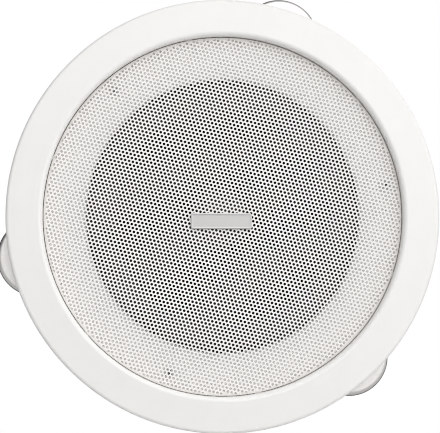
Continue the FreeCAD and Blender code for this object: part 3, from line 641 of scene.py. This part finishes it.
def ferrite(rgb):
    """Ground ferrite: dark, dry and speckled."""
    finish = Finish("ground_ferrite", rgb, 0.68)
    finish.tint(finish.noise(0.7 * MM, 6.0), 0.6, 1.6)
    finish.polish(finish.noise(3.0 * MM), 0.58, 0.80)
    finish.emboss(finish.cells(0.9 * MM), 0.03 * MM)
    return finish.material


def copper_winding(rgb):
    """Enamelled copper wire, turn on turn."""
    finish = Finish("copper_winding", rgb, 0.30, 1.0)
    turns = finish.lines(0.3 * MM, "Y")
    finish.tint(turns, 0.5, 1.1, 0.1, 0.7)
    finish.emboss(turns, 0.12 * MM)
    return finish.material


def former_foil(rgb):
    """Thin aluminium foil."""
    finish = Finish("former_foil", rgb, 0.30, 1.0)
    finish.polish(finish.noise(2.0 * MM), 0.22, 0.40)
    finish.tint(finish.noise(1.0 * MM), 0.9, 1.0)
    return finish.material


def laminate(rgb):
    """Brown laminated board."""
    finish = Finish("brown_laminate", rgb, 0.50)
    finish.tint(finish.noise(1.6 * MM, 5.0, (1.0, 4.0, 1.0)), 0.65, 1.25)
    finish.polish(finish.noise(0.8 * MM), 0.42, 0.60)
    finish.emboss(finish.noise(0.3 * MM), 0.008 * MM)
    return finish.material


def tinned_brass(tin, brass):
    """Tin over brass, yellow where it is thin."""
    finish = Finish("tinned_brass", tin, 0.30, 1.0)
    finish.tint(finish.noise(1.5 * MM, 5.0), brass, tin)
    finish.polish(finish.noise(0.6 * MM), 0.24, 0.42)
    return finish.material


def lead_strand(rgb):
    """Bright braided copper."""
    finish = Finish("lead_strand", rgb, 0.38, 1.0)
    finish.tint(finish.noise(0.5 * MM, 4.0), 0.6, 1.2)
    finish.polish(finish.noise(0.4 * MM), 0.30, 0.50)
    return finish.material


def plain_floor(rgb):
    """Pale floor with a breath of unevenness."""
    finish = Finish("pale_floor", rgb, 0.75)
    finish.tint(finish.noise(0.35, 3.0), 0.985, 1.0)
    finish.polish(finish.noise(0.05), 0.70, 0.80)
    return finish.material


# Front

def dress_mouldings(colours):
    """Moulded white for the ring, and a more matt one for the baffle."""
    dress(moulded_white("white_moulding", colours.ring_white, 0.42, 1.0 * MM), "trim_ring")
    dress(moulded_white("white_baffle", colours.baffle_white, 0.62, 0.5 * MM), "baffle")


def hole_centres(sizes, limit):
    """Staggered rows of hole centres, all within the limit from the axis."""
    reach = int(limit / min(sizes.row_gap, sizes.hole_pitch)) + 1
    rows, columns = np.mgrid[-reach:reach + 1, -reach:reach + 1]
    along = (columns + rows % 2 / 2) * sizes.hole_pitch
    across = rows * sizes.row_gap
    x = sizes.hole_x + along * math.cos(sizes.row_turn) - across * math.sin(sizes.row_turn)
    z = sizes.hole_z + along * math.sin(sizes.row_turn) + across * math.cos(sizes.row_turn)
    inside = np.hypot(x, z) < limit
    return list(zip(x[inside], z[inside]))


# Circles of points on the rolled rim, from its edge inwards, as shares of its bare stretch
RIM_CIRCLES = (1.0, 0.55, 0.1)
# Points of the sheet that lie nearer than this count as one
SAME_PLACE = 1e-9


def build_grille(sizes, rgb):
    """One sheet with every hole cut through, its rim rolled back and carried down to the baffle."""
    low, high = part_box("grille")
    front, foot = low.y, high.y
    flat_r = node_radius("grille") - sizes.bend
    quarter = sizes.bend * math.pi / 2
    last_hole = flat_r + quarter - sizes.bare_rim
    flat_points = []
    loops = []

    def add_loop(x, z, radius, sides, turn):
        loops.append(list(range(len(flat_points), len(flat_points) + sides)))
        for k in range(sides):
            here = turn + FULL_TURN * k / sides
            flat_points.append(Vector((x + radius * math.cos(here), z + radius * math.sin(here))))

    for share in RIM_CIRCLES:
        add_loop(0.0, 0.0, last_hole + sizes.bare_rim * share, sizes.rim_steps, 0.0)
    for x, z in hole_centres(sizes, last_hole - sizes.hole_radius):
        add_loop(x, z, sizes.hole_radius, sizes.hole_sides, sizes.row_turn + math.pi / sizes.hole_sides)

    flat, _, triangles, came_from, _, lies_in = geometry.delaunay_2d_cdt(
        flat_points, [], loops, 0, SAME_PLACE, True)
    place_of = {old: new for new, olds in enumerate(came_from) for old in olds}
    rings = len(RIM_CIRCLES)
    sheet = [tuple(f) for f, inside in zip(triangles, lies_in) if inside and max(inside) < rings]

    def rolled(place, lift):
        """A place of the flat sheet after rolling, at the front face or behind it."""
        rho = place.length
        turn = max(0.0, rho - flat_r) / sizes.bend
        radius = min(rho, flat_r) + (sizes.bend - lift) * math.sin(turn)
        depth = front + sizes.bend - (sizes.bend - lift) * math.cos(turn)
        return (place.x / rho * radius, depth, place.y / rho * radius)

    points = [rolled(p, 0.0) for p in flat] + [rolled(p, sizes.sheet) for p in flat]
    behind = len(flat)
    faces = list(sheet)
    faces += [tuple(k + behind for k in reversed(f)) for f in sheet]
    for loop in loops[rings:]:
        places = [place_of[k] for k in loop]
        for a, b in zip(places, places[1:] + places[:1]):
            faces.append((a, b, b + behind, a + behind))

    edge = [place_of[k] for k in loops[0]]
    outer_foot = len(points)
    points += [(points[k][0], foot, points[k][2]) for k in edge]
    inner_foot = len(points)
    points += [(points[k + behind][0], foot, points[k + behind][2]) for k in edge]
    for i, a in enumerate(edge):
        j = (i + 1) % len(edge)
        b = edge[j]
        faces.append((b, a, outer_foot + i, outer_foot + j))
        faces.append((a + behind, b + behind, inner_foot + j, inner_foot + i))
        faces.append((outer_foot + j, outer_foot + i, inner_foot + i, inner_foot + j))
    piece = new_piece("grille_perforated", points, faces, powder_coat(rgb), sharp_degrees=65.0)
    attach(piece, "chassis")
    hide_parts("grille")


SMALLEST_CORNER = 0.1 * MM


def plate_outline(sizes, half_x, half_z, inset):
    """Outline of the plate with rounded corners, a given distance inside its edge."""
    radius = max(sizes.corner - inset, SMALLEST_CORNER)
    places = []
    for quarter, (sx, sz) in enumerate(((1, 1), (-1, 1), (-1, -1), (1, -1))):
        for i in range(sizes.corner_steps + 1):
            turn = (quarter + i / sizes.corner_steps) * math.pi / 2
            places.append((sx * (half_x - inset - radius) + radius * math.cos(turn),
                           sz * (half_z - inset - radius) + radius * math.sin(turn)))
    return places


def build_plate(sizes, rgb):
    """A pressed plate: a low raised rim round a plain sunken field."""
    low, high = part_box("badge_plate")
    middle = (low + high) / 2
    half = (high - low) / 2
    field = low.y + sizes.sunk
    crest_end = sizes.slope + sizes.crest
    levels = ((0.0, high.y), (0.0, field), (sizes.slope, low.y), (crest_end, low.y),
              (crest_end + sizes.slope, field))
    points = []
    for inset, depth in levels:
        outline = plate_outline(sizes, half.x, half.z, inset)
        points += [(middle.x + x, depth, middle.z + z) for x, z in outline]
    around = len(points) // len(levels)
    faces = [tuple(reversed(range(around))), tuple(range(len(points) - around, len(points)))]
    for first in range(0, len(points) - around, around):
        for k in range(around):
            ahead = (k + 1) % around
            faces.append((first + k, first + ahead, first + around + ahead, first + around + k))
    piece = new_piece("badge_plate_rimmed", points, faces, brushed_plate(rgb), sharp_degrees=5.0)
    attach(piece, "chassis")
    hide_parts("badge_plate")


def dress_screws(colours):
    """Coated heads in front, plain zinc behind."""
    dress(coated_screw(colours.screw_white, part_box("baffle_screws")[0].y), "baffle_screws")
    dress(zinc_plate("screw_zinc", colours.zinc, 0.30), "driver_screws", "terminal_rivets")


# Driver

def dress_cone(colours):
    """Paper, cap, foil and copper of the unit that moves."""
    dress(pressed_paper(colours.paper_black), "cone")
    dress(cap_gloss(colours.cap_black), "dust_cap")
    dress(former_foil(colours.foil_silver), "coil_former")
    dress(copper_winding(colours.copper), "voice_coil")


def follow_cone(piece, outer_r, inner_r):
    """Bakes the piece's place into its mesh and works out each point's share of the way from the outer radius
    to the inner one.
    """
    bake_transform(piece)
    places = np.array([v.co for v in piece.data.vertices])
    share = (outer_r - np.hypot(places[:, 0], places[:, 2])) / (outer_r - inner_r)
    share = np.clip(share, 0.0, 1.0)


def build_surround(sizes, rgb):
    """A half roll of rubber between two flat lips."""
    low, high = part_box("surround")
    edge_out = node_radius("surround")
    cone_r = node_radius("cone")
    edge_in = cone_r - sizes.lip
    back = high.y
    roll_out = edge_out - sizes.lip - sizes.roll_outside
    roll_in = cone_r + sizes.roll_inside
    middle = (roll_out + roll_in) / 2
    cone_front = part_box("cone")[0].y
    rear = arc_points((roll_out, back), (middle, low.y + sizes.rubber),
                      (roll_in, cone_front), sizes.roll_steps)
    face = arc_points((roll_in - sizes.rubber, cone_front - sizes.rubber), (middle, low.y),
                      (roll_out + sizes.rubber, back - sizes.rubber), sizes.roll_steps)
    section = [(edge_out, back)] + rear + [(edge_in, cone_front), (edge_in, cone_front - sizes.rubber)]
    section += face + [(edge_out, back - sizes.rubber)]
    points, faces = revolved(section, sizes.steps)
    piece = new_piece("surround_roll", points, faces, black_rubber(rgb))
    follow_cone(piece, roll_out, roll_in)
    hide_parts("surround")


def build_spider(sizes, rgb):
    """Cloth pressed into even waves between the former and the basket's shelf."""
    low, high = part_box("spider")
    outer = node_radius("spider")
    inner = node_radius("coil_former") + sizes.glue
    first = inner + sizes.collar
    last = outer - sizes.flange
    middle = (low.y + high.y) / 2
    steps = sizes.waves * sizes.wave_steps
    line = [(inner, 0.0)]
    for i in range(steps + 1):
        share = i / steps
        rise = sizes.wave_height * math.sin(FULL_TURN * sizes.waves * share)
        line.append((first + (last - first) * share, rise))
    line.append((outer, 0.0))
    section = [(r, middle - rise + sizes.cloth / 2) for r, rise in line]
    section += [(r, middle - rise - sizes.cloth / 2) for r, rise in reversed(line)]
    points, faces = revolved(section, sizes.steps)
    piece = new_piece("spider_waves", points, faces, spider_cloth(rgb))
    follow_cone(piece, last, first)
    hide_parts("spider")


def dress_basket(colours):
    """A painted basket on its foam gasket."""
    dress(black_paint(colours.basket_black), "driver_basket")
    dress(closed_foam(colours.foam_grey), "driver_gasket")


def dress_motor(colours):
    """Steel plates and the magnet between them."""
    dress(turned_steel(colours.zinc), "front_plate", "yoke")
    dress(ferrite(colours.ferrite_grey), "magnet")


# Terminals

# Points of a lead's route in mm: outwards, to the side of the board's middle, and behind the board
LEAD_ROUTE = (
    (83.5, 8.0, 1.4), (77.0, 12.0, 3.9), (68.5, 18.0, 7.4),
    (59.0, 21.5, 8.9), (50.0, 21.0, 7.4), (44.0, 18.5, 4.2))
LEAD_STEPS = 16
LEAD_STRANDS = 3
STRAND_RADIUS = 0.29 * MM
STRAND_OFFSET = 0.31 * MM
STRAND_TWIST = 4.0 * MM
STRAND_SIDES = 8


def smooth_route(points):
    """Places along the smooth line that a flexible lead takes past its route's points."""
    curve = bpy.data.curves.new("lead_route", "CURVE")
    curve.dimensions = "3D"
    curve.resolution_u = LEAD_STEPS
    spline = curve.splines.new("NURBS")
    spline.points.add(len(points) - 1)
    for place, point in zip(spline.points, points):
        place.co = (*point, 1.0)
    spline.order_u = 3
    spline.use_endpoint_u = True
    holder = bpy.data.objects.new("lead_route", curve)
    mesh = bpy.data.meshes.new_from_object(holder)
    path = [v.co.copy() for v in mesh.vertices]
    bpy.data.objects.remove(holder)
    bpy.data.curves.remove(curve)
    bpy.data.meshes.remove(mesh)
    return path


def twisted(path):
    """Strands that wind round a path."""
    strands = [[] for _ in range(LEAD_STRANDS)]
    gone = 0.0
    before = path[0]
    for here, across, other in crossways(path):
        gone += (here - before).length
        before = here
        for k, strand in enumerate(strands):
            turn = FULL_TURN * (gone / STRAND_TWIST + k / LEAD_STRANDS)
            strand.append(here + (across * math.cos(turn) + other * math.sin(turn)) * STRAND_OFFSET)
    return merged([tube(strand, STRAND_RADIUS, STRAND_SIDES) for strand in strands])


def build_leads(rgb):
    """Twisted leads from the tabs to the rear of the cone."""
    board_low, board_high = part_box("terminal_board")
    centre = (board_low + board_high) / 2
    turn = math.atan2(centre.z, centre.x)
    material = lead_strand(rgb)
    for name, side in (("plus", 1), ("minus", -1)):
        route = [placed(outward * MM, side * along * MM, board_high.y + depth * MM, turn)
                 for outward, along, depth in LEAD_ROUTE]
        points, faces = twisted(smooth_route(route))
        piece = new_piece("lead_" + name + "_strands", points, faces, material)
        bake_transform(piece)
        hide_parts("lead_" + name)


def dress_terminals(colours):
    """A laminated board with tinned tabs."""
    dress(laminate(colours.board_brown), "terminal_board")
    dress(tinned_brass(colours.tab_tin, colours.tab_brass), "terminal_plus", "terminal_minus")


# Clips

WIRE_SIDES = 10


def spring_path(sizes, joint):
    """Wire of one torsion spring: the held leg, the coil round the pin and the pressing arm."""
    turn = joint_angle(joint)
    pivot = Vector(joint["pos_m"])
    pivot_r = math.hypot(pivot.x, pivot.z)
    width = sizes.turns * sizes.pitch
    path = []
    for i in range(sizes.anchor_steps + 1):
        path.append((sizes.coil_radius, sizes.anchor * (1 - i / sizes.anchor_steps), 0.0))
    steps = int(sizes.turns * sizes.turn_steps)
    for i in range(1, steps + 1):
        share = i / steps
        wound = -FULL_TURN * sizes.turns * share
        path.append((sizes.coil_radius * math.cos(wound), sizes.coil_radius * math.sin(wound), width * share))
    for i in range(1, sizes.arm_steps + 1):
        path.append((sizes.arm * i / sizes.arm_steps, sizes.coil_radius, width))
    return [placed(pivot_r + out, width / 2 - along, pivot.y - rise, turn) for out, rise, along in path]


def build_springs(sizes, rgb):
    """A wound spring on each pin."""
    material = spring_wire(rgb)
    for clip, joint in enumerate(CLIP_JOINTS, start=1):
        points, faces = tube(spring_path(sizes, joint), sizes.wire / 2, WIRE_SIDES)
        piece = new_piece("clip_spring_%d_wire" % clip, points, faces, material)
        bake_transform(piece)
        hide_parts("clip_spring_%d" % clip)


def dress_clips(colours):
    """Plated paddles, with painted light and shade, on steel pins."""
    paddle_zinc_painted_shade = clip_zinc_painted_shade(colours.zinc, node_radius("baffle") + EAR_START)
    pin_zinc = zinc_plate("pin_steel", colours.zinc, 0.26)
    for clip in range(1, len(CLIP_JOINTS) + 1):
        dress(paddle_zinc_painted_shade, "clip_paddle_%d" % clip)
        dress(pin_zinc, "clip_pin_%d" % clip)


# Stage

def build_floor(stage):
    """A plain floor some way below the speaker."""
    size = stage.floor_size
    height = CAD_BOX[0].z - stage.floor_drop
    mesh = bpy.data.meshes.new("floor")
    corners = [(-size, -size, height), (size, -size, height), (size, size, height), (-size, size, height)]
    mesh.from_pydata(corners, [], [(0, 1, 2, 3)])
    mesh.materials.append(plain_floor(stage.floor_white))
    floor = bpy.data.objects.new("floor", mesh)
    bpy.context.scene.collection.objects.link(floor)


def build_camera(stage):
    """The camera, nearly square on."""
    away = Vector((-math.tan(stage.camera_left), -1.0, -math.tan(stage.camera_below))).normalized()
    camera = bpy.data.objects.new("camera", bpy.data.cameras.new("camera"))
    camera.data.lens = camera.data.sensor_width * stage.camera_distance / stage.view_width
    camera.location = Vector((stage.aim_x, 0.0, stage.aim_z)) + away * stage.camera_distance
    camera.rotation_euler = (-away).to_track_quat("-Z", "Y").to_euler()
    bpy.context.scene.collection.objects.link(camera)
    bpy.context.scene.camera = camera


def worked_out(tree, operation, amount, other):
    """An amount of light changed by a number or by another amount."""
    node = tree.nodes.new("ShaderNodeMath")
    node.operation = operation
    tree.links.new(amount, node.inputs[0])
    if isinstance(other, float):
        node.inputs[1].default_value = other
    else:
        tree.links.new(other, node.inputs[1])
    return node.outputs["Value"]


def soft_light(tree, place, towards, strength, spread):
    """Brightness of a wide soft light, strongest in one direction and gone at right angles to it."""
    facing = tree.nodes.new("ShaderNodeVectorMath")
    facing.operation = "DOT_PRODUCT"
    facing.inputs[1].default_value = towards
    tree.links.new(place, facing.inputs[0])
    amount = facing.outputs["Value"]
    for operation, value in (("MAXIMUM", 0.0), ("POWER", spread), ("MULTIPLY", strength)):
        amount = worked_out(tree, operation, amount, value)
    return amount


def build_light(stage):
    """A white surround for the picture, lit by a wide soft light in front and another behind."""
    scene = bpy.context.scene
    scene.view_settings.view_transform = "Standard"
    scene.cycles.filter_width = stage.pixel_filter
    scene.cycles.diffuse_bounces = stage.light_bounces
    world = bpy.data.worlds.new("studio")
    world.use_nodes = True
    scene.world = world
    tree = world.node_tree
    nodes, links = tree.nodes, tree.links
    nodes.clear()
    place = nodes.new("ShaderNodeTexCoord").outputs["Generated"]
    key_way = placed(math.sin(stage.key_out), 0.0, -math.cos(stage.key_out), stage.key_turn)
    level = math.cos(stage.back_up)
    back_way = (math.sin(stage.back_side) * level, math.cos(stage.back_side) * level, math.sin(stage.back_up))
    key = soft_light(tree, place, key_way, stage.key, 1.0)
    flags = soft_light(tree, place, FRONT, 1.0, stage.flags)
    back = soft_light(tree, place, back_way, stage.back, stage.back_spread)
    brightness = worked_out(tree, "MULTIPLY", key, flags)
    for more in (back, stage.fill):
        brightness = worked_out(tree, "ADD", brightness, more)
    light = nodes.new("ShaderNodeBackground")
    links.new(brightness, light.inputs["Strength"])
    white = nodes.new("ShaderNodeBackground")
    for shade in (light, white):
        shade.inputs["Color"].default_value = (1.0, 1.0, 1.0, 1.0)
    path = nodes.new("ShaderNodeLightPath")
    chosen = nodes.new("ShaderNodeMixShader")
    links.new(path.outputs["Is Camera Ray"], chosen.inputs["Fac"])
    links.new(light.outputs["Background"], chosen.inputs[1])
    links.new(white.outputs["Background"], chosen.inputs[2])
    output = nodes.new("ShaderNodeOutputWorld")
    links.new(chosen.outputs["Shader"], output.inputs["Surface"])


# Operators and panel

class SPEAKER_OT_mouldings(bpy.types.Operator):
    """Give the trim ring and the baffle their moulded white"""
    bl_idname = "speaker.mouldings"
    bl_label = "Ring and baffle"

    def execute(self, context):
        dress_mouldings(context.scene.speaker_finish)
        return {"FINISHED"}


class SPEAKER_OT_grille(bpy.types.Operator):
    """Perforate the grille sheet and roll its rim"""
    bl_idname = "speaker.grille"
    bl_label = "Grille"

    def execute(self, context):
        build_grille(context.scene.speaker_grille, context.scene.speaker_finish.grille_white)
        return {"FINISHED"}


class SPEAKER_OT_plate_and_screws(bpy.types.Operator):
    """Press the small plate and finish the screws and the rivets"""
    bl_idname = "speaker.plate_and_screws"
    bl_label = "Plate, screws and rivets"

    def execute(self, context):
        build_plate(context.scene.speaker_plate, context.scene.speaker_finish.plate_silver)
        dress_screws(context.scene.speaker_finish)
        return {"FINISHED"}


class SPEAKER_OT_cone(bpy.types.Operator):
    """Finish the cone, its dust cap, former and coil"""
    bl_idname = "speaker.cone"
    bl_label = "Cone"

    def execute(self, context):
        dress_cone(context.scene.speaker_finish)
        return {"FINISHED"}


class SPEAKER_OT_suspension(bpy.types.Operator):
    """Form the surround and the spider"""
    bl_idname = "speaker.suspension"
    bl_label = "Surround and spider"

    def execute(self, context):
        colours = context.scene.speaker_finish
        build_surround(context.scene.speaker_suspension, colours.rubber_black)
        build_spider(context.scene.speaker_suspension, colours.cloth_tan)
        return {"FINISHED"}


class SPEAKER_OT_basket(bpy.types.Operator):
    """Paint the basket and finish its gasket"""
    bl_idname = "speaker.basket"
    bl_label = "Basket"

    def execute(self, context):
        dress_basket(context.scene.speaker_finish)
        return {"FINISHED"}


class SPEAKER_OT_motor(bpy.types.Operator):
    """Finish the magnet and its steel plates"""
    bl_idname = "speaker.motor"
    bl_label = "Magnet and plates"

    def execute(self, context):
        dress_motor(context.scene.speaker_finish)
        return {"FINISHED"}


class SPEAKER_OT_terminals(bpy.types.Operator):
    """Finish the terminal board and its tabs, and twist the leads"""
    bl_idname = "speaker.terminals"
    bl_label = "Terminals and leads"

    def execute(self, context):
        dress_terminals(context.scene.speaker_finish)
        build_leads(context.scene.speaker_finish.copper)
        return {"FINISHED"}


class SPEAKER_OT_clips(bpy.types.Operator):
    """Finish the clips and their pins, and wind their springs"""
    bl_idname = "speaker.clips"
    bl_label = "Clips and springs"

    def execute(self, context):
        dress_clips(context.scene.speaker_finish)
        build_springs(context.scene.speaker_springs, context.scene.speaker_finish.zinc)
        return {"FINISHED"}


class SPEAKER_OT_stage(bpy.types.Operator):
    """Set up the floor, the light and the camera"""
    bl_idname = "speaker.stage"
    bl_label = "Stage"

    def execute(self, context):
        stage = context.scene.speaker_stage
        build_floor(stage)
        build_light(stage)
        build_camera(stage)
        return {"FINISHED"}


SETTINGS = {
    "speaker_grille": GrilleSettings,
    "speaker_plate": PlateSettings,
    "speaker_suspension": SuspensionSettings,
    "speaker_springs": SpringSettings,
    "speaker_finish": FinishSettings,
    "speaker_stage": StageSettings,
}
OPERATORS = (
    SPEAKER_OT_mouldings, SPEAKER_OT_grille, SPEAKER_OT_plate_and_screws, SPEAKER_OT_cone,
    SPEAKER_OT_suspension, SPEAKER_OT_basket, SPEAKER_OT_motor, SPEAKER_OT_terminals,
    SPEAKER_OT_clips, SPEAKER_OT_stage)


class SPEAKER_PT_pieces(bpy.types.Panel):
    """Lists the pieces and their settings"""
    bl_idname = "SPEAKER_PT_pieces"
    bl_label = "Loudspeaker"
    bl_space_type = "VIEW_3D"
    bl_region_type = "UI"
    bl_category = "Loudspeaker"

    def draw(self, context):
        for operator in OPERATORS:
            self.layout.operator(operator.bl_idname)
        for group, kind in SETTINGS.items():
            box = self.layout.box()
            box.label(text=kind.__doc__)
            for setting in kind.__annotations__:
                box.prop(getattr(context.scene, group), setting)


def register():
    for group, kind in SETTINGS.items():
        bpy.utils.register_class(kind)
        setattr(bpy.types.Scene, group, bpy.props.PointerProperty(type=kind))
    for kind in (*OPERATORS, SPEAKER_PT_pieces):
        bpy.utils.register_class(kind)


def unregister():
    for kind in reversed((*OPERATORS, SPEAKER_PT_pieces)):
        bpy.utils.unregister_class(kind)
    for group, kind in SETTINGS.items():
        delattr(bpy.types.Scene, group)
        bpy.utils.unregister_class(kind)


def main():
    register()
    for operator in OPERATORS:
        getattr(bpy.ops.speaker, operator.bl_idname.split(".")[1])()


if __name__ == "__main__":
    main()
